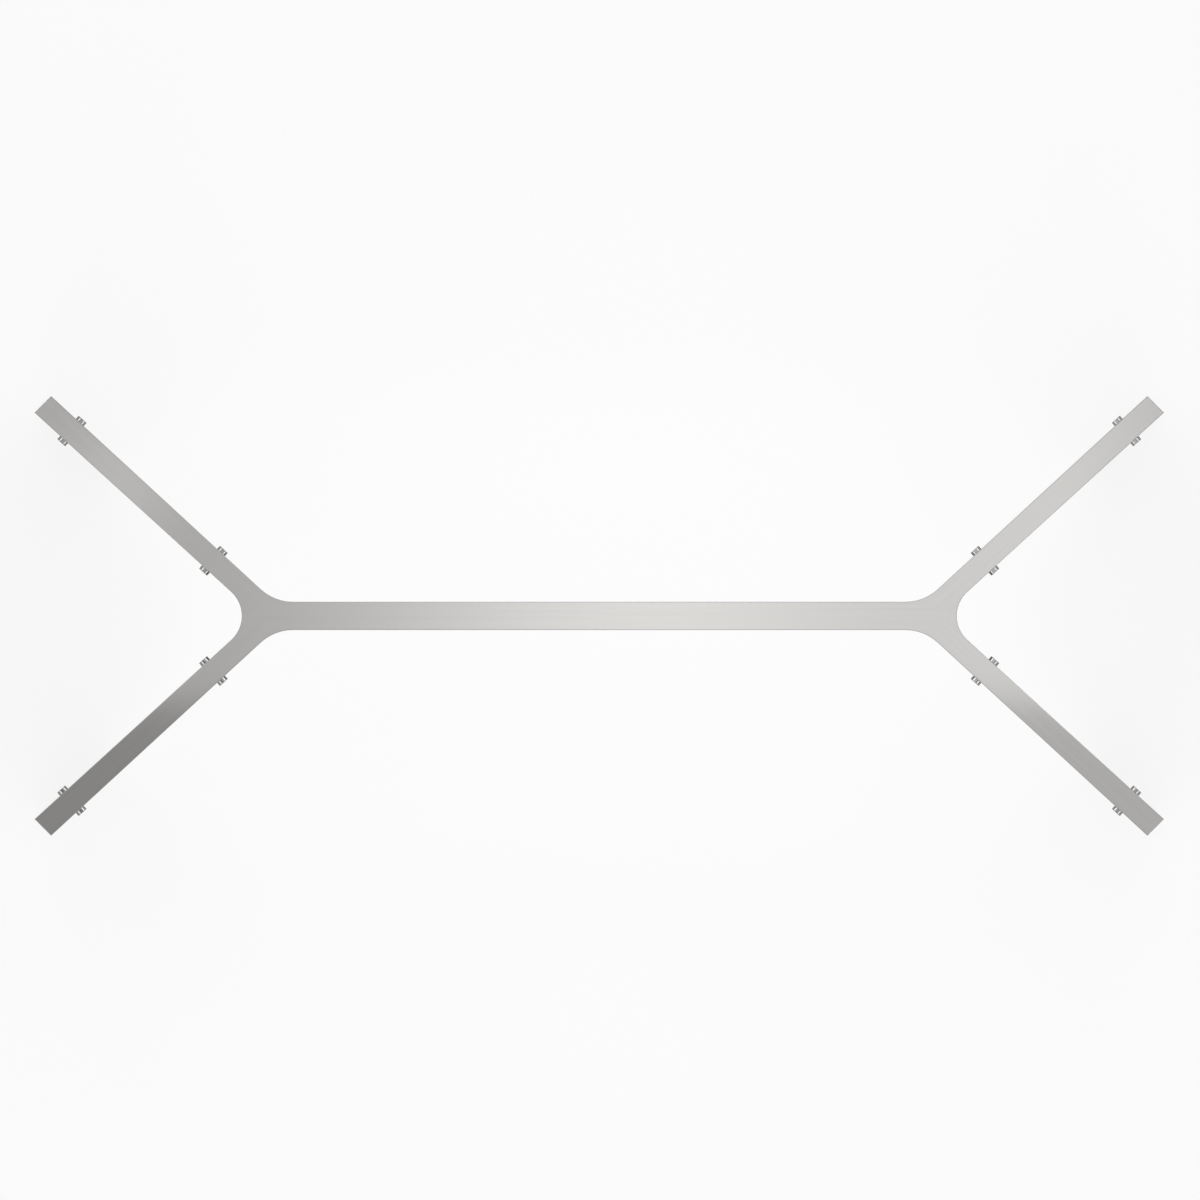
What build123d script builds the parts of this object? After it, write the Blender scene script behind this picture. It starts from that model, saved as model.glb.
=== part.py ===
from build123d import *
from math import atan, cos, hypot, radians, sin
import os

# Dining table base: a welded double-Y top frame on four blade legs.
# Millimetres, +Z up, +X along the beam, origin on the floor under the middle.

# Overall size
overall_length = 2000.0
overall_height = 720.0

# Plan of the beam and the four arms
beam_width = 50.0
arm_length = 554.5
arm_angle = 42.5
arm_fork_width = 38.9
arm_tip_width = 41.6
end_face_angle = 45.0
crotch_radius = 57.0
shoulder_radius = 85.0

# Section of the frame
rail_depth = 60.0
top_plate = 5.0
bottom_plate = 4.0
skirt = 4.0
end_plate = 4.0
top_edge_break = 0.8

# Blade legs welded from sheet, slotted up into the arms
leg_tip_inset = 12.0
leg_fork_setback = 86.5
foot_width = 150.0
leg_sheet = 2.5
leg_edge_break = 1.5
foot_plate = 6.0
slip = 0.5

# Screwed joints between arms and legs
screw_edge_distance = 58.0
screw_diameter = 12.0
screw_tip_gap = 7.5
head_diameter = 19.0
head_height = 7.5
socket_across_flats = 8.0
socket_depth = 4.5
boss_wall = 5.0
hole_clearance = 0.5
thread_play = 0.05

# Floor glide pads, stuck under the feet
glide_length = 40.0
glide_width = 22.0
glide_height = 5.0
glide_edge_break = 1.5
glide_foot_inset = 28.0

# Places worked out from the sizes above
taper = (arm_tip_width - arm_fork_width) / 2 / arm_length
face_skew = radians(end_face_angle - arm_angle)
face_half = arm_tip_width / 2 / (cos(face_skew) - taper * sin(face_skew))
arm_run_x = arm_length * cos(radians(arm_angle))
end_x = overall_length / 2 - face_half * sin(radians(end_face_angle))
end_y = arm_length * sin(radians(arm_angle))
fork_x = end_x - arm_run_x

rail_bottom = overall_height - rail_depth
rail_ceiling = overall_height - top_plate
screw_z = overall_height - rail_depth / 2

leg_outer = leg_tip_inset
leg_inner = arm_length - leg_fork_setback
foot_inner = leg_outer + foot_width
leg_bottom = glide_height
screw_stations = (leg_outer + screw_edge_distance, leg_inner - screw_edge_distance)
glide_stations = (leg_outer + glide_foot_inset, foot_inner - glide_foot_inset)

corners = {
    "front_left": (-1, -1),
    "front_right": (1, -1),
    "back_left": (-1, 1),
    "back_right": (1, 1),
}


def arm_half_width(station):
    """Half the arm's width at a distance from its end face."""
    return arm_tip_width / 2 - taper * station


def leg_half_thickness(station):
    """Half the leg's thickness: it fills the slot between the skirts, less the slip."""
    return arm_half_width(station) - skirt - slip


def screw_seat(station):
    """Distance from the arm's centreline to the plane that a screw head sits on."""
    return arm_half_width(station) + abs(taper) * head_diameter / 2


def arm_place(side_x, side_y):
    """Local frame of an arm: X from the end face to the fork, Z up, origin on the floor."""
    origin = (side_x * end_x, side_y * end_y, 0)
    inward = (-side_x * cos(radians(arm_angle)), -side_y * sin(radians(arm_angle)), 0)
    return Plane(origin=origin, x_dir=inward, z_dir=(0, 0, 1)).location


def crossing(point, along, other_point, other_along):
    """Where two lines in plan cross, each given by a point and a direction."""
    cross = along.X * other_along.Y - along.Y * other_along.X
    gap = other_point - point
    reach = (gap.X * other_along.Y - gap.Y * other_along.X) / cross
    return point + along * reach


def frame_outline(side_inset=0.0, end_inset=0.0):
    """Plan of the double-Y frame, pulled in by an inset at its sides and its ends."""
    sharp = 0.0
    fork = Vector(fork_x, 0)
    tip = Vector(end_x, end_y)
    across = Vector(-sin(radians(arm_angle)), cos(radians(arm_angle)))
    lateral_inset = side_inset / cos(atan(taper))

    def arm_edge(side):
        start = fork + across * side * (arm_fork_width / 2 - lateral_inset)
        finish = tip + across * side * (arm_tip_width / 2 - lateral_inset)
        return start, finish - start

    face_out = Vector(cos(radians(end_face_angle)), sin(radians(end_face_angle)))
    face_along = Vector(-face_out.Y, face_out.X)
    face_point = tip - face_out * end_inset
    long_side = (Vector(0, beam_width / 2 - side_inset), Vector(1, 0))
    middle = (Vector(0, 0), Vector(1, 0))

    crotch = crossing(*arm_edge(-1), *middle)
    end_inside = crossing(*arm_edge(-1), face_point, face_along)
    end_outside = crossing(*arm_edge(1), face_point, face_along)
    shoulder = crossing(*arm_edge(1), *long_side)

    quarter = [
        (end_inside, sharp),
        (end_outside, sharp),
        (shoulder, shoulder_radius + side_inset),
    ]
    right_back = [(crotch, crotch_radius + side_inset)] + quarter
    left_back = [(Vector(-p.X, p.Y), r) for p, r in reversed(right_back)]
    left_front = [(Vector(-p.X, -p.Y), r) for p, r in quarter]
    right_front = [(Vector(p.X, -p.Y), r) for p, r in reversed(quarter)]
    turns = right_back + left_back + left_front + right_front
    edge = FilletPolyline([p for p, r in turns], radius=[r for p, r in turns], close=True)
    return make_face(edge.edges())


def cross_drill(station, radius):
    """Cylinder through the arm, square to its centreline, at a screw station."""
    through = Cylinder(radius, 2 * arm_tip_width, rotation=(90, 0, 0))
    return Pos(station, 0, screw_z) * through


def make_top_frame():
    """Hollow double-Y frame: closed all round, with a slot under each arm for its leg."""
    hollow_depth = rail_depth - top_plate - bottom_plate
    frame = Pos(0, 0, rail_bottom) * extrude(frame_outline(), rail_depth)
    rim = frame.faces().sort_by(Axis.Z)[-1].outer_wire().edges()
    frame = chamfer(rim, top_edge_break)

    inside = frame_outline(skirt, end_plate)
    frame -= Pos(0, 0, rail_bottom + bottom_plate) * extrude(inside, hollow_depth)

    floor_cut = Pos(0, 0, rail_bottom) * extrude(inside, bottom_plate)
    slot_reach = leg_inner + slip
    align = (Align.MAX, Align.CENTER, Align.MIN)
    slot_block = Box(slot_reach + arm_tip_width, arm_tip_width, bottom_plate, align=align)
    slot_block = Pos(slot_reach, 0, rail_bottom) * slot_block
    screw_hole = screw_diameter / 2 + hole_clearance
    for side_x, side_y in corners.values():
        place = arm_place(side_x, side_y)
        frame -= floor_cut & (place * slot_block)
        for station in screw_stations:
            frame -= place * cross_drill(station, screw_hole)
    return frame


def blade(inset=0.0, base=leg_bottom, top=rail_ceiling):
    """Solid blade: vertical outer edge, inner edge raked from the foot up to the arm."""
    rake = (leg_inner - foot_inner) / (rail_bottom - leg_bottom)
    rake_inset = inset * hypot(1, rake)
    raked_edge = foot_inner - rake_inset + rake * (base - leg_bottom)
    knee = base + (leg_inner - inset - raked_edge) / rake
    profile = Polyline(
        (leg_outer + inset, base),
        (raked_edge, base),
        (leg_inner - inset, knee),
        (leg_inner - inset, top),
        (leg_outer + inset, top),
        close=True,
    )
    side_face = make_face(Plane.XZ * profile)
    slab = extrude(side_face, arm_tip_width, both=True)

    outer_half = leg_half_thickness(leg_outer) - inset
    inner_half = leg_half_thickness(leg_inner) - inset
    wedge = Polyline(
        (leg_outer, -outer_half),
        (leg_inner, -inner_half),
        (leg_inner, inner_half),
        (leg_outer, outer_half),
        close=True,
    )
    return slab & extrude(make_face(wedge), top)


def make_leg():
    """Hollow sheet leg, open inside its arm, with tapped square bosses and a foot plate."""
    leg = blade()
    long_edges = [e for e in leg.edges() if abs((e @ 1 - e @ 0).Z) > foot_plate]
    leg = chamfer(long_edges, leg_edge_break)
    leg -= blade(leg_sheet, leg_bottom + foot_plate, overall_height)

    tapped = screw_diameter / 2 + thread_play
    boss_width = screw_diameter + 2 * boss_wall
    for station in screw_stations:
        boss_length = 2 * leg_half_thickness(station) - leg_sheet
        leg += Pos(station, 0, screw_z) * Box(boss_width, boss_length, boss_width)
        leg -= cross_drill(station, tapped)
    return leg


def make_cap_screw():
    """Low round-headed screw with a hexagon socket; the seat is at Z 0, the head above."""
    shank_length = screw_seat(screw_stations[1]) - screw_tip_gap / 2
    head = head_diameter / 2
    shank = screw_diameter / 2
    half_section = Polyline(
        (0, -shank_length),
        (shank, -shank_length),
        (shank, 0),
        (head, 0),
        (head, head_height),
        (0, head_height),
        close=True,
    )
    screw = revolve(make_face(Plane.XZ * half_section), Axis.Z)
    socket = RegularPolygon(socket_across_flats / 2, 6, major_radius=False)
    screw -= Pos(0, 0, head_height - socket_depth) * extrude(socket, socket_depth)
    return screw


def make_glide():
    """Nylon glide pad with its floor edges broken all round."""
    pad = Box(glide_length, glide_width, glide_height, align=(Align.CENTER, Align.CENTER, Align.MIN))
    floor_edges = pad.faces().sort_by(Axis.Z)[0].edges()
    return chamfer(floor_edges, glide_edge_break)


# Build every piece where it stands
os.makedirs("parts", exist_ok=True)
pieces = {"top_frame": make_top_frame()}
leg = make_leg()
glide = make_glide()
cap_screw = make_cap_screw()
screws = []

for corner, sides in corners.items():
    place = arm_place(*sides)
    pieces[f"leg_{corner}"] = place * leg
    for end, station in zip(("tip", "fork"), glide_stations):
        pieces[f"glide_{corner}_{end}"] = place * Pos(station, 0, 0) * glide
    for station in screw_stations:
        for side in (-1, 1):
            seat = Pos(station, side * screw_seat(station), screw_z) * Rot(-90 * side, 0, 0)
            screws.append(place * seat * cap_screw)

pieces["cap_screws"] = Compound(screws)

for node, shape in pieces.items():
    export_step(shape, f"parts/{node}.step")
    size = shape.bounding_box().size
    print(f"{node}: volume {shape.volume:.0f} mm3, size {size.X:.1f} x {size.Y:.1f} x {size.Z:.1f}")
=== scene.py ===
# %% [markdown]
# # A double-Y table base in satin steel
#
# This lesson dresses a measured model of a dining table base. A flat hollow beam
# splits at each end into two arms, a blade leg hangs from every arm, and round
# polished screws hold the legs. The shapes come from the measured model, so most of
# the work is light and metal: a plain steel face looks only as good as what it
# mirrors. The first two cells load the model and read its main sizes.

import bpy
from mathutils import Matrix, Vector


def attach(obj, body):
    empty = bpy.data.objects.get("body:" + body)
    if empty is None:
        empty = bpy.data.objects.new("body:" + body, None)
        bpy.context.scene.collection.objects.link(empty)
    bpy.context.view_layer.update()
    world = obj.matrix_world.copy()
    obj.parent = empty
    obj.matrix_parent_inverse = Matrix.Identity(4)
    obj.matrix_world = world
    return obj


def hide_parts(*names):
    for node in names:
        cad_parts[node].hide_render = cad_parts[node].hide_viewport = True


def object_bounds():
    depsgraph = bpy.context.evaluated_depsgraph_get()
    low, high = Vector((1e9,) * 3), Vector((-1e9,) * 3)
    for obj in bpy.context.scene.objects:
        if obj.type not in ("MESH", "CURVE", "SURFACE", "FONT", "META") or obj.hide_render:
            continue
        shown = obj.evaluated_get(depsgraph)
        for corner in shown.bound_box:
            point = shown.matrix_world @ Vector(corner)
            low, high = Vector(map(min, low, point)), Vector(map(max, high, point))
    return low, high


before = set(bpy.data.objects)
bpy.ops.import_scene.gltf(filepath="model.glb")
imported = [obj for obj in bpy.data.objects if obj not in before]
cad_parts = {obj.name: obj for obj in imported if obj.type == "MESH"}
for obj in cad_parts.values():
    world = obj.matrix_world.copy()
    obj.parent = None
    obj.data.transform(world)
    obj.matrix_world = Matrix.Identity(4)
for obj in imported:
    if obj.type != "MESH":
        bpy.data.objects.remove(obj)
measured_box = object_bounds()
print("pieces loaded:", sorted(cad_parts))

# %% Bring in Blender and read the main sizes
import math

import bmesh
import bpy
from mathutils import Matrix, Vector

low, high = (Vector(corner) for corner in measured_box)
base_length = high.x - low.x
base_height = high.z - low.z
print(f"base {base_length:.3f} m long and {base_height:.3f} m high")

# %% [markdown]
# ## The camera
#
# The picture looks straight down, and parallel edges stay parallel right to the
# corners of the frame. A lens always makes what is nearer larger, so the camera is an
# orthographic one. Its scale follows from one measure: how many picture units the
# base spans out of the whole width.

# %% Set up the camera
picture_px = 1200
base_span_px = 1129.6
base_middle_px = (598.75, 615.4)
camera_rise = 2.5

metres_per_px = base_length / base_span_px
picture_middle_px = (picture_px - 1) / 2
camera_data = bpy.data.cameras.new("plan_camera")
camera_data.type = "ORTHO"
camera_data.ortho_scale = picture_px * metres_per_px
camera = bpy.data.objects.new("plan_camera", camera_data)
camera.location = (
    (picture_middle_px - base_middle_px[0]) * metres_per_px,
    (base_middle_px[1] - picture_middle_px) * metres_per_px,
    high.z + camera_rise,
)
bpy.context.collection.objects.link(camera)
bpy.context.scene.camera = camera
bpy.context.scene.view_settings.view_transform = "Standard"
print(f"camera frames {camera_data.ortho_scale:.4f} m, {metres_per_px * 1000:.4f} mm to a pixel")

# %% [markdown]
# ## Small tools for node trees
#
# Every finish and lamp below is a tree of nodes. Clicking nodes together by hand is a
# good way to learn them. In a script, three helpers keep the trees readable: one adds a
# node and fills its inputs, and the others do a sum on numbers or on vectors.

# %% Helpers for nodes
def add_node(tree, kind, inputs=None, **options):
    """Add a node, set its options, and set or wire each named or numbered input."""
    node = tree.nodes.new(kind)
    for option, value in options.items():
        setattr(node, option, value)
    for key, value in (inputs or {}).items():
        if isinstance(value, bpy.types.NodeSocket):
            tree.links.new(value, node.inputs[key])
        else:
            node.inputs[key].default_value = value
    return node


def do_math(tree, operation, *values):
    """The result of one sum on numbers or sockets."""
    node = add_node(tree, "ShaderNodeMath", dict(enumerate(values)), operation=operation)
    return node.outputs[0]


def do_vector_math(tree, operation, *values):
    """The result of one sum on vectors: a number for a distance or a dot product."""
    node = add_node(tree, "ShaderNodeVectorMath", dict(enumerate(values)), operation=operation)
    gives_number = operation in ("DISTANCE", "DOT_PRODUCT")
    return node.outputs["Value" if gives_number else "Vector"]


print("node helpers: add_node, do_math, do_vector_math")

# %% [markdown]
# ## The floor and the room
#
# The base stands on a pale seamless sheet that runs out of sight behind it. To look
# white without flooding the metal with light, most of what the eye sees of the sheet is
# a plain white glow, and a share of it is real paper that takes the lamps and the shadow
# of the base. Above the sheet the room is a darker grey. Metal needs that contrast: a
# face that mirrors nothing but white looks like paper.

# %% Lay the floor
floor_side = 80.0
floor_gap = 0.0002

corner_signs = ((-1, -1), (1, -1), (1, 1), (-1, 1))
floor_corners = [(x * floor_side / 2, y * floor_side / 2, 0) for x, y in corner_signs]
floor_mesh = bpy.data.meshes.new("floor_sheet")
floor_mesh.from_pydata(floor_corners, [], [(0, 1, 2, 3)])
floor = bpy.data.objects.new("floor_sheet", floor_mesh)
floor.location.z = low.z - floor_gap
bpy.context.collection.objects.link(floor)
print(f"floor {floor_side:.0f} m square, {floor_gap * 1000:.1f} mm under the glides")

# %% Make the floor's paper
paper_white = (0.95, 0.95, 0.95, 1.0)
glow_share = 0.84


def rays_that_show(tree):
    """One for the rays by which a background is seen: straight, in metal or in glass."""
    path = add_node(tree, "ShaderNodeLightPath").outputs
    straight_or_metal = do_math(tree, "MAXIMUM", path["Is Camera Ray"], path["Is Glossy Ray"])
    return do_math(tree, "MAXIMUM", straight_or_metal, path["Is Transmission Ray"])


floor_paper = bpy.data.materials.new("floor_paper")
floor_paper.use_nodes = True
floor_tree = floor_paper.node_tree
floor_tree.nodes.clear()
paper = add_node(floor_tree, "ShaderNodeBsdfDiffuse", {"Color": paper_white})
glow = add_node(floor_tree, "ShaderNodeEmission", {"Strength": 1.0})
share = do_math(floor_tree, "MULTIPLY", rays_that_show(floor_tree), glow_share)
sheet_parts = {0: share, 1: paper.outputs[0], 2: glow.outputs[0]}
sheet = add_node(floor_tree, "ShaderNodeMixShader", sheet_parts)
add_node(floor_tree, "ShaderNodeOutputMaterial", {"Surface": sheet.outputs[0]})
floor_mesh.materials.append(floor_paper)
print(f"floor paper, {glow_share:.0%} glow")

# %% Paint the room
room_fill = 0.4
room_stops = [(0.02, 0.945), (0.10, 0.28), (0.30, 0.28), (0.70, 0.335)]


def grey_ramp(tree, value, stops):
    """Turn a value from 0 to 1 into a brightness, easing through (place, grey) stops."""
    ramp = add_node(tree, "ShaderNodeValToRGB", {"Fac": value})
    ramp.color_ramp.interpolation = "EASE"
    elements = ramp.color_ramp.elements
    while len(elements) < len(stops):
        elements.new(0.5)
    for element, (place, grey) in zip(elements, stops):
        element.position = place
        element.color = (grey, grey, grey, 1.0)
    return ramp.outputs["Color"]


room = bpy.data.worlds.new("studio_room")
bpy.context.scene.world = room
room.use_nodes = True
room_tree = room.node_tree
room_tree.nodes.clear()
direction = add_node(room_tree, "ShaderNodeTexCoord").outputs["Generated"]
rise = add_node(room_tree, "ShaderNodeSeparateXYZ", {0: direction}).outputs["Z"]
seen_room = grey_ramp(room_tree, rise, room_stops)
room_parts = {"Factor": rays_that_show(room_tree), "A": room_fill, "B": seen_room}
room_light = add_node(room_tree, "ShaderNodeMix", room_parts).outputs["Result"]
backdrop = {"Color": (1.0, 1.0, 1.0, 1.0), "Strength": room_light}
background = add_node(room_tree, "ShaderNodeBackground", backdrop)
add_node(room_tree, "ShaderNodeOutputWorld", {"Surface": background.outputs[0]})
print(f"room {room_stops[0][1]} at the floor, {room_stops[-1][1]} overhead, fill {room_fill}")

# %% [markdown]
# ## The overhead softboxes
#
# Seen from above, each point of a flat steel face mirrors what hangs straight over it.
# So the brightness along the beam is the brightness of the lamp above the beam. A
# softbox glows most near its bulb and less toward its ends, and that is the slow swell
# of tone along the base. A second, dimmer box hangs in front of the first, and the line
# where the two meet shows as the darker ends of the front arms. Each box ends a little
# beyond the base, so that from other sides the metal mirrors the grey room instead.

# %% Helpers for lamps
def add_softbox(name, middle, width, depth, brightness, facing):
    """A flat rectangular lamp of even brightness, 1 being white, turned along facing."""
    lamp = bpy.data.lights.new(name, "AREA")
    lamp.shape = "RECTANGLE"
    lamp.size = width
    lamp.size_y = depth
    lamp.energy = brightness * math.pi * width * depth
    box = bpy.data.objects.new(name, lamp)
    box.location = middle
    box.rotation_euler = Vector(facing).to_track_quat("-Z", "Y").to_euler()
    box.visible_camera = False
    bpy.context.collection.objects.link(box)
    return box


def clear_lamp_tree(box):
    """An empty node tree for a lamp, and the place on the lamp that is shaded."""
    box.data.use_nodes = True
    tree = box.data.node_tree
    tree.nodes.clear()
    return tree, add_node(tree, "ShaderNodeNewGeometry").outputs["Position"]


def glow_by(tree, strength):
    """Let a lamp glow with a worked-out strength."""
    glow = add_node(tree, "ShaderNodeEmission", {"Strength": strength})
    add_node(tree, "ShaderNodeOutputLight", {"Surface": glow.outputs[0]})


print("lamp helpers: add_softbox, clear_lamp_tree, glow_by")

# %% Hang the overhead softboxes
softbox_rise = 0.62
softbox_z = high.z + softbox_rise
softbox_reach = 1.25
boxes_meet_y = -0.155
rear_depth = 0.75
rear_swell = [(-0.735, 0.42), (0.10, 1.045), (0.60, 0.82), (0.80, 0.86), (1.05, 0.635)]
front_depth = 0.45
front_swell = [(-0.70, 0.10), (0.75, 0.435)]
downward = (0, 0, -1)


def remap(tree, value, from_range, to_range):
    """Stretch a value from one range to another and stop at the ends."""
    names = ("From Min", "From Max", "To Min", "To Max")
    inputs = dict(zip(names, (*from_range, *to_range)))
    inputs["Value"] = value
    return add_node(tree, "ShaderNodeMapRange", inputs).outputs["Result"]


def hang_overhead(name, back_y, depth, stops):
    """A box over the length of the base, swelling along X through (place, grey) stops."""
    middle = (0, back_y - depth / 2, softbox_z)
    box = add_softbox(name, middle, 2 * softbox_reach, depth, 1.0, downward)
    tree, point = clear_lamp_tree(box)
    along = add_node(tree, "ShaderNodeSeparateXYZ", {0: point}).outputs["X"]
    share = remap(tree, along, (-softbox_reach, softbox_reach), (0.0, 1.0))
    shares = [((place + softbox_reach) / (2 * softbox_reach), grey) for place, grey in stops]
    glow_by(tree, grey_ramp(tree, share, shares))


hang_overhead("overhead_rear_softbox", boxes_meet_y + rear_depth, rear_depth, rear_swell)
hang_overhead("overhead_front_softbox", boxes_meet_y, front_depth, front_swell)
print(f"overhead boxes at z = {softbox_z:.2f} m, meeting at y = {boxes_meet_y} m")

# %% [markdown]
# ## Strips, panels and a spot
#
# A polished drum shows a lamp as a thin bright line. Two tall strips stand in every
# corner of the room, each in line with an arm, so that a screw head catches a line on
# either side. Strips this narrow leave the flat top of the base grey, with a soft streak
# or two, from whichever side it is seen, where wide boxes would wash it out. Two broad
# panels light the floor and stay out of the reflections. A small spot hangs under the
# rear box, where one arm is a little brighter than the slow swell explains.

# %% Stand the strips in line with the arms
arm_angle = math.radians(42.5)
fork_x = 0.576
strip_distance = 2.8
strip_middle = 2.4
strip_width = 0.15
strip_tall = 2.0
strip_hot = 2.1
strip_rim = 0.05
strip_even = 0.5
strip_spread = 1.0


def hot_middle(box, hot, rim, even, spread):
    """Keep a lamp hot out to an even radius, then let it fall to its rim brightness."""
    tree, point = clear_lamp_tree(box)
    away = do_vector_math(tree, "DISTANCE", point, box.location)
    ranges = {"Value": away, "From Min": even, "From Max": spread, "To Min": hot, "To Max": rim}
    fall = add_node(tree, "ShaderNodeMapRange", ranges, interpolation_type="SMOOTHSTEP")
    glow_by(tree, fall.outputs["Result"])


def stand_strip(side_x, side_y, fork):
    """A tall strip out in one corner of the room, in line with an arm that leaves a fork."""
    row = "back" if side_y > 0 else "front"
    end = "right" if side_x > 0 else "left"
    arm = "near" if side_x * fork > 0 else "far"
    outward = Vector((side_x * math.cos(arm_angle), side_y * math.sin(arm_angle), 0))
    fork_top = Vector((fork, 0, base_height))
    middle = Vector((fork, 0, strip_middle)) + outward * strip_distance
    name = f"{row}_{end}_{arm}_strip"
    strip = add_softbox(name, middle, strip_width, strip_tall, 1.0, fork_top - middle)
    hot_middle(strip, strip_hot, strip_rim, strip_even, strip_spread)
    return name


strips = [
    stand_strip(side_x, side_y, fork)
    for side_x in (-1, 1)
    for side_y in (-1, 1)
    for fork in (-fork_x, fork_x)
]
print("strips:", ", ".join(strips))

# %% Light the floor and lift one arm
panel_distance = 2.0
panel_middle = 2.7
panel_width = 3.6
panel_tall = 1.4
panels = {"front_floor_panel": (-1, 1.9), "back_floor_panel": (1, 1.4)}
spot_under_box = 0.02
spot_middle = (-0.845, 0.246, softbox_z - spot_under_box)
spot_radius = 0.17
spot_hot = 0.2

for name, (side_y, brightness) in panels.items():
    middle = Vector((0, side_y * panel_distance, panel_middle))
    panel = add_softbox(name, middle, panel_width, panel_tall, brightness, -middle)
    panel.visible_glossy = False

spot_side = 2 * spot_radius
spot = add_softbox("rear_left_arm_spot", spot_middle, spot_side, spot_side, 1.0, downward)
hot_middle(spot, spot_hot, 0.0, 0.0, spot_radius)
print(f"{len(panels)} floor panels and a spot of brightness {spot_hot}")

# %% [markdown]
# ## Satin steel
#
# The frame and the legs are mild grey with a faint warmth, rubbed with a fine abrasive
# until the face mirrors only softly. Rubbing leaves hair lines along each member: along
# the beam, along each arm, and up each leg. A photographed texture could show them, but
# noise that is stretched a hundred times longer than it is wide does so at any scale.
# Because the plan is the same in all four quarters, the place is folded into one quarter
# and turned by the arm's angle. Each quarter draws its own slice of noise, so that the
# four arms are not copies.

# %% Directions of the hair lines
mitre_x = 0.633
mitre_lean = 2.3
quarter_steps = (1.7, 4.1, 0.0)


def place_on_base(tree):
    """The place on the base, in metres."""
    return add_node(tree, "ShaderNodeTexCoord").outputs["Object"]


def folded_place(tree):
    """The place on the base, folded into the quarter where x and y are positive."""
    return do_vector_math(tree, "ABSOLUTE", place_on_base(tree))


def quarter_number(tree):
    """A different number for each quarter of the plan."""
    sides = do_vector_math(tree, "SIGN", place_on_base(tree))
    return do_vector_math(tree, "DOT_PRODUCT", sides, quarter_steps)


def along_arm(tree, folded):
    """The folded place turned so that X runs along the arm and Y across it."""
    inputs = {"Vector": folded, "Angle": -arm_angle}
    return add_node(tree, "ShaderNodeVectorRotate", inputs, rotation_type="Z_AXIS").outputs[0]


def along_member(tree, folded):
    """X along the beam inside the forks, and along the arms beyond the mitre lines."""
    lean = do_vector_math(tree, "DOT_PRODUCT", folded, (1.0, mitre_lean, 0.0))
    on_arm = do_math(tree, "GREATER_THAN", lean, mitre_x)
    choice = {0: on_arm, 4: folded, 5: along_arm(tree, folded)}
    return add_node(tree, "ShaderNodeMix", choice, data_type="VECTOR").outputs[1]


print(f"arms leave the beam at {math.degrees(arm_angle):.1f} degrees")

# %% Draw the hair lines
hair_across = 1500.0
hair_along = 14.0
hair_detail = 3.0
streak_share = 0.12


def noise(tree, inputs, dimensions="3D"):
    """A noise value, mostly between 0.3 and 0.7."""
    return add_node(tree, "ShaderNodeTexNoise", inputs, noise_dimensions=dimensions).outputs[0]


def hair_lines(tree, upright):
    """Hair lines up a piece or along it, and the sum of them and of broader streaks."""
    folded = folded_place(tree)
    if upright:
        run, stretch = along_arm(tree, folded), (hair_across, hair_across, hair_along)
    else:
        run, stretch = along_member(tree, folded), (hair_along, hair_across, hair_across)
    place = do_vector_math(tree, "MULTIPLY", run, stretch)
    slices = {"Vector": place, "W": quarter_number(tree), "Detail": hair_detail}
    hair = noise(tree, {**slices, "Scale": 1.0}, "4D")
    streak = noise(tree, {**slices, "Scale": streak_share}, "4D")
    return hair, do_math(tree, "ADD", hair, streak)


print(f"hair lines {1000 / hair_across:.2f} mm wide, {1000 / hair_along:.0f} mm long")

# %% [markdown]
# ### Softened edges
#
# No welded and ground edge is perfectly sharp: the rubbing pad rounds it by about a
# millimetre and leaves it a little brighter. Cutting a bevel would change the measured
# mesh. The Bevel node only turns the shading normal near an edge, and the angle between
# that normal and the face's own one tells how near the edge is.

# %% Soften the edges
edge_radius = 0.0012
edge_samples = 6
edge_levels = (1.0, 0.85)


def soft_edges(tree):
    """The rounded normal, and a share that grows from 0 on a face to 1 at its edge."""
    bevel = add_node(tree, "ShaderNodeBevel", {"Radius": edge_radius}, samples=edge_samples)
    rounded = bevel.outputs[0]
    face = add_node(tree, "ShaderNodeNewGeometry").outputs["Normal"]
    level = do_vector_math(tree, "DOT_PRODUCT", rounded, face)
    return rounded, remap(tree, level, edge_levels, (0.0, 1.0))


print(f"edges rounded by {edge_radius * 1000:.1f} mm")

# %% [markdown]
# ### The steel itself
#
# Steel is a metal shader whose colour is the share of light it sends back, about half
# here. The hair lines change that share by a few parts in a hundred, and the roughness
# too, so a highlight breaks up along them. A slow cloud in the roughness stands for the
# uneven pressure of a hand.

# %% Build the satin steel
satin_tone = (0.520, 0.513, 0.502)
satin_roughness = 0.17
worn_tint = 1.08
hair_depth = 0.0000006
grain_range = (0.7, 1.3)
noise_range = (0.3, 0.7)
cloud_size = {"Scale": 5.0, "Detail": 4.0}
cloud_roughness = 0.012


def start_material(name):
    """A new material, its node tree, and the inputs of its main shader."""
    material = bpy.data.materials.new(name)
    material.use_nodes = True
    tree = material.node_tree
    return material, tree, tree.nodes["Principled BSDF"].inputs


def tinted(tone, share):
    """A colour some share lighter or darker, ready for a colour socket."""
    return tuple(channel * share for channel in tone) + (1.0,)


def mix_colours(tree, share, first, second):
    """A blend of two colours."""
    parts = {0: share, 6: first, 7: second}
    return add_node(tree, "ShaderNodeMix", parts, data_type="RGBA").outputs[2]


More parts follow.
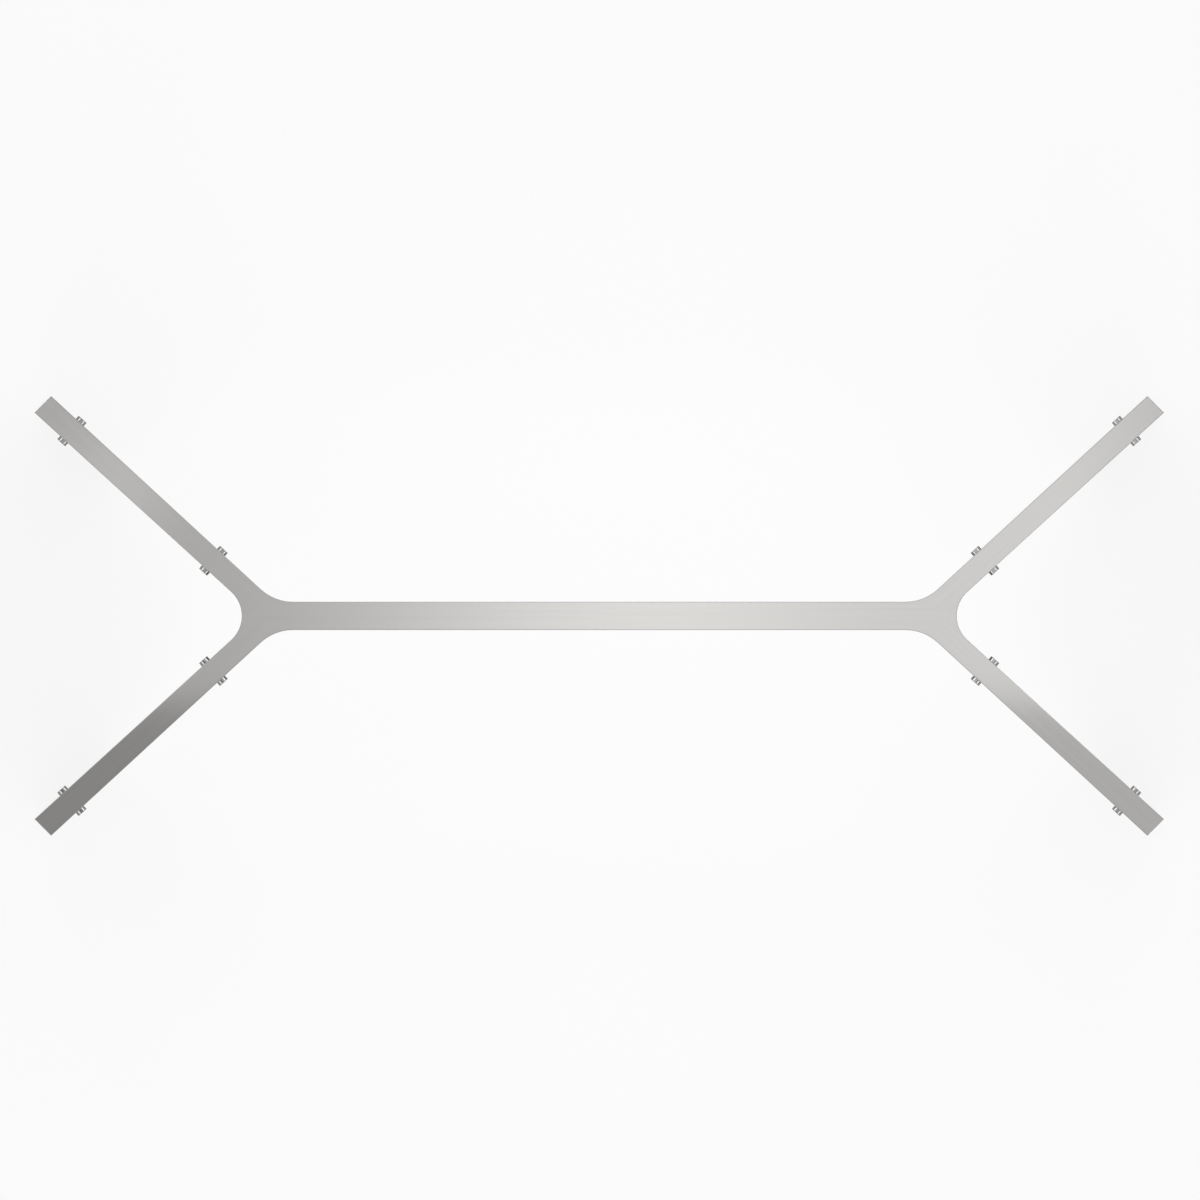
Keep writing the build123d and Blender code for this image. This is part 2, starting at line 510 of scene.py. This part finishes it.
def satin_steel(name, upright, contrast):
    """Rubbed steel, with hair lines up the piece or along the beam and arms."""
    material, tree, steel = start_material(name)
    steel["Metallic"].default_value = 1.0
    hair, grain = hair_lines(tree, upright)
    rounded, edge = soft_edges(tree)

    darker, paler = tinted(satin_tone, 1.0 - contrast), tinted(satin_tone, 1.0 + contrast)
    tone = mix_colours(tree, remap(tree, grain, grain_range, (0.0, 1.0)), darker, paler)
    worn = mix_colours(tree, edge, tone, tinted(satin_tone, worn_tint))
    tree.links.new(worn, steel["Base Color"])

    rough_ends = (satin_roughness - contrast / 2, satin_roughness + contrast / 2)
    hair_rough = remap(tree, grain, grain_range, rough_ends)
    cloud = noise(tree, {"Vector": folded_place(tree), **cloud_size})
    cloud_rough = remap(tree, cloud, noise_range, (-cloud_roughness, cloud_roughness))
    tree.links.new(do_math(tree, "ADD", hair_rough, cloud_rough), steel["Roughness"])

    relief = {"Height": hair, "Distance": hair_depth, "Strength": 1.0, "Normal": rounded}
    tree.links.new(add_node(tree, "ShaderNodeBump", relief).outputs[0], steel["Normal"])
    return material


frame_steel = satin_steel("frame_satin_steel", upright=False, contrast=0.025)
leg_steel = satin_steel("leg_satin_steel", upright=True, contrast=0.04)
print("made", frame_steel.name, "and", leg_steel.name)

# %% Dress the frame and the legs
def dress(node, material):
    """Give a measured piece its finish."""
    slots = node.data.materials
    slots.clear()
    slots.append(material)


dress(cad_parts["top_frame"], frame_steel)
legs = [node for name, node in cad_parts.items() if name.startswith("leg_")]
for leg in legs:
    dress(leg, leg_steel)
print("satin steel on the frame and", len(legs), "legs")

# %% [markdown]
# ## Polished screws
#
# The screws are turned from bar and polished. Their heads are small drums, so each one
# mirrors the whole room in a few lines of light. The measured screws have sharp rims,
# and no turned part has: a lathe leaves a rounded rim and a small lead into the key
# socket, and those are what catch the light. So each screw is turned again here, ring
# by ring, with the place and the sizes read from the measured one that it stands for.

# %% Tell the screws apart
merge_gap = 0.000002


def middle_of(values):
    """Half way between the least and the greatest."""
    return (min(values) + max(values)) / 2


def box_middle(points):
    """The middle of some points, to a tenth of a millimetre, whatever their order."""
    return [round(middle_of([point[axis] for point in points]), 4) for axis in range(3)]


def separate_screws(node):
    """The points of each screw, from a merged copy of the measured piece."""
    copy = bmesh.new()
    copy.from_mesh(node.data)
    bmesh.ops.remove_doubles(copy, verts=copy.verts, dist=merge_gap)
    waiting = set(copy.verts)
    screws = []
    while waiting:
        reached = [waiting.pop()]
        points = []
        while reached:
            vert = reached.pop()
            points.append(vert.co.copy())
            for edge in vert.link_edges:
                neighbour = edge.other_vert(vert)
                if neighbour in waiting:
                    waiting.remove(neighbour)
                    reached.append(neighbour)
        screws.append(points)
    copy.free()
    return sorted(screws, key=box_middle)


screw_points = separate_screws(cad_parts["cap_screws"])
print(len(screw_points), "screws of", len(screw_points[0]), "points each")

# %% Measure each screw
wide_share = 0.8


def measure_screw(points):
    """A screw's seat on the arm, the way its head points, and its main sizes."""
    side_x = math.copysign(1, points[0].x)
    side_y = math.copysign(1, points[0].y)
    along = Vector((side_x * math.cos(arm_angle), side_y * math.sin(arm_angle), 0))
    across = Vector((-along.y, along.x, 0))
    axis_z = middle_of([p.z for p in points])
    head_radius = max(p.z for p in points) - axis_z
    head_points = [p for p in points if abs(p.z - axis_z) > wide_share * head_radius]
    head_middle = middle_of([p.dot(across) for p in head_points])
    outward = across if head_middle > middle_of([p.dot(across) for p in points]) else -across

    seat_height = min(p.dot(outward) for p in head_points)
    head_top = max(p.dot(outward) for p in head_points)
    tip_height = min(p.dot(outward) for p in points)
    tip = [abs(p.z - axis_z) for p in points if p.dot(outward) < tip_height + merge_gap]
    seat = along * middle_of([p.dot(along) for p in points]) + outward * seat_height
    seat.z = axis_z
    return {
        "seat": seat,
        "outward": outward,
        "along": along,
        "head_radius": head_radius,
        "head_height": head_top - seat_height,
        "shank_radius": max(tip),
        "shank_length": seat_height - tip_height,
    }


measured_screws = [measure_screw(points) for points in screw_points]
for size in ("head_radius", "head_height", "shank_radius", "shank_length"):
    print(size, f"{measured_screws[0][size] * 1000:.2f} mm")

# %% Shape the rings of a screw
rim_radius = 0.0009
rim_steps = 6
rim_hold = 0.00006
seat_break = 0.0003
tip_break = 0.001
key_flats = 0.008
key_depth = 0.0045
key_lead = 0.0004


def round_ring(radius):
    """Distance from the axis at any angle: the same all round."""
    return lambda angle: radius


def key_ring(flats):
    """Distance from the axis at any angle: a hexagon with corners every sixth of a turn."""
    sixth = math.pi / 3
    return lambda angle: flats / 2 / math.cos(angle % sixth - sixth / 2)


def screw_rings(screw):
    """The screw's rings from its tip to the mouth of its key socket, then down into it."""
    head, height = screw["head_radius"], screw["head_height"]
    shank, length = screw["shank_radius"], screw["shank_length"]
    mouth = key_flats / math.sqrt(3) + key_lead
    rings = [
        (round_ring(shank - tip_break), -length),
        (round_ring(shank), tip_break - length),
        (round_ring(shank), 0.0),
        (round_ring(head - seat_break), 0.0),
        (round_ring(head), seat_break),
        (round_ring(head), height - rim_radius - rim_hold),
    ]
    for step in range(rim_steps + 1):
        turn = math.pi / 2 * step / rim_steps
        radius = head - rim_radius * (1 - math.cos(turn))
        rings.append((round_ring(radius), height - rim_radius * (1 - math.sin(turn))))
    return rings + [
        (round_ring(head - rim_radius - rim_hold), height),
        (round_ring(mouth + rim_hold), height),
        (round_ring(mouth), height),
        (key_ring(key_flats), height - key_lead),
        (key_ring(key_flats), height - key_depth),
    ]


print("a screw has", len(screw_rings(measured_screws[0])), "rings")

# %% Skin the rings
steps_around = 48
key_point = 0.0012


def screw_place(screw, spin):
    """Where a screw stands: its Z out of the arm, turned by spin about its own axis."""
    upward = screw["outward"].cross(screw["along"])
    axes = Matrix((screw["along"], upward, screw["outward"])).transposed().to_4x4()
    return Matrix.Translation(screw["seat"]) @ axes @ Matrix.Rotation(spin, 4, "Z")


def turn_screw(blank, feed_layer, screw, spin):
    """Add one screw to the mesh: rings of points, skinned, with a point at each end."""
    place = screw_place(screw, spin)

    def add_point(radius, angle, height, feed):
        local = Vector((radius * math.cos(angle), radius * math.sin(angle), height))
        vert = blank.verts.new(place @ local)
        vert[feed_layer] = feed
        return vert

    rings = screw_rings(screw)
    angles = [2 * math.pi * step / steps_around for step in range(steps_around)]
    reach_before, height_before = round_ring(0.0), rings[0][1]
    feed = 0.0
    start = add_point(0, 0, height_before, feed)
    last_ring = None
    for reach, height in rings:
        feed += math.hypot(reach(0) - reach_before(0), height - height_before)
        reach_before, height_before = reach, height
        ring = [add_point(reach(angle), angle, height, feed) for angle in angles]
        for step in range(steps_around):
            after = (step + 1) % steps_around
            if last_ring is None:
                blank.faces.new((start, ring[after], ring[step]))
            else:
                blank.faces.new((last_ring[step], last_ring[after], ring[after], ring[step]))
        last_ring = ring
    end = add_point(0, 0, height_before - key_point, feed + key_flats / 2)
    for step in range(steps_around):
        after = (step + 1) % steps_around
        blank.faces.new((last_ring[step], last_ring[after], end))


print("each ring has", steps_around, "points")

# %% Turn all the screws
turn_between_screws = math.radians(23)
crease_angle = math.radians(35)

blank = bmesh.new()
feed_layer = blank.verts.layers.float.new("lathe_feed")
for number, screw in enumerate(measured_screws):
    turn_screw(blank, feed_layer, screw, number * turn_between_screws)
screw_mesh = bpy.data.meshes.new("turned_cap_screws")
blank.to_mesh(screw_mesh)
blank.free()
screw_mesh.shade_smooth()
screw_mesh.set_sharp_from_angle(angle=crease_angle)
turned_screws = bpy.data.objects.new("turned_cap_screws", screw_mesh)
bpy.context.collection.objects.link(turned_screws)
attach(turned_screws, "root")
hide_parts("cap_screws")
print("turned", len(measured_screws), "screws,", len(screw_mesh.polygons), "faces")

# %% [markdown]
# ### Polish
#
# A polished drum still keeps the faint rings of the turning tool. While the screws were
# turned, every point was given its distance along the tool's path. Noise along that one
# number makes rings that follow the shank, the head and the socket alike.

# %% Polish the screws
polish_tone = (0.36, 0.36, 0.355)
polish_roughness = 0.05
ring_contrast = 0.04
ring_roughness = 0.02
rings_per_metre = 7000.0
ring_detail = 2.0
ring_depth = 0.0000004
# A black edge tint darkens each head toward its outline, where it turns away from view: painted
# dark rims, not something the lamps or the room make.
painted_dark_rim_tint = (0.0, 0.0, 0.0, 1.0)


def polished_steel():
    """Bright turned metal with faint rings left by the tool."""
    material, tree, steel = start_material("screw_polished_steel")
    steel["Metallic"].default_value = 1.0
    # Painted dark rims: the black edge tint darkens the heads' sides at grazing angles.
    steel["Specular Tint"].default_value = painted_dark_rim_tint
    feed = add_node(tree, "ShaderNodeAttribute", attribute_name="lathe_feed").outputs["Fac"]
    along = do_math(tree, "MULTIPLY", feed, rings_per_metre)
    rings = noise(tree, {"W": along, "Scale": 1.0, "Detail": ring_detail}, "1D")

    share = remap(tree, rings, noise_range, (0.0, 1.0))
    darker, paler = tinted(polish_tone, 1 - ring_contrast), tinted(polish_tone, 1 + ring_contrast)
    tree.links.new(mix_colours(tree, share, darker, paler), steel["Base Color"])
    rough_ends = (polish_roughness - ring_roughness, polish_roughness + ring_roughness)
    tree.links.new(remap(tree, rings, noise_range, rough_ends), steel["Roughness"])
    relief = {"Height": rings, "Distance": ring_depth, "Strength": 1.0}
    tree.links.new(add_node(tree, "ShaderNodeBump", relief).outputs[0], steel["Normal"])
    return material


screw_mesh.materials.append(polished_steel())
print("screws polished, roughness about", polish_roughness)

# %% [markdown]
# ## Nylon glides
#
# Under each foot sit two black nylon pads that slide on the floor and keep the steel off
# it. Moulded nylon has a fine dull grain, finer than a millimetre, so plain noise gives
# its colour, its roughness and its relief together.

# %% Build the nylon
nylon_black = (0.025, 0.025, 0.027, 1.0)
nylon_worn = (0.045, 0.045, 0.047, 1.0)
nylon_roughness = (0.45, 0.62)
nylon_grain = {"Scale": 1400.0, "Detail": 3.0}
nylon_relief = {"Distance": 0.00005, "Strength": 0.6}


def glide_nylon():
    """Dull black moulded nylon."""
    material, tree, nylon = start_material("glide_nylon")
    grain = noise(tree, {"Vector": place_on_base(tree), **nylon_grain})
    tree.links.new(mix_colours(tree, grain, nylon_black, nylon_worn), nylon["Base Color"])
    tree.links.new(remap(tree, grain, noise_range, nylon_roughness), nylon["Roughness"])
    bump = add_node(tree, "ShaderNodeBump", {"Height": grain, **nylon_relief})
    tree.links.new(bump.outputs[0], nylon["Normal"])
    return material


pad_nylon = glide_nylon()
glides = [node for name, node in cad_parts.items() if name.startswith("glide_")]
for glide in glides:
    dress(glide, pad_nylon)
print(len(glides), "glides in nylon")
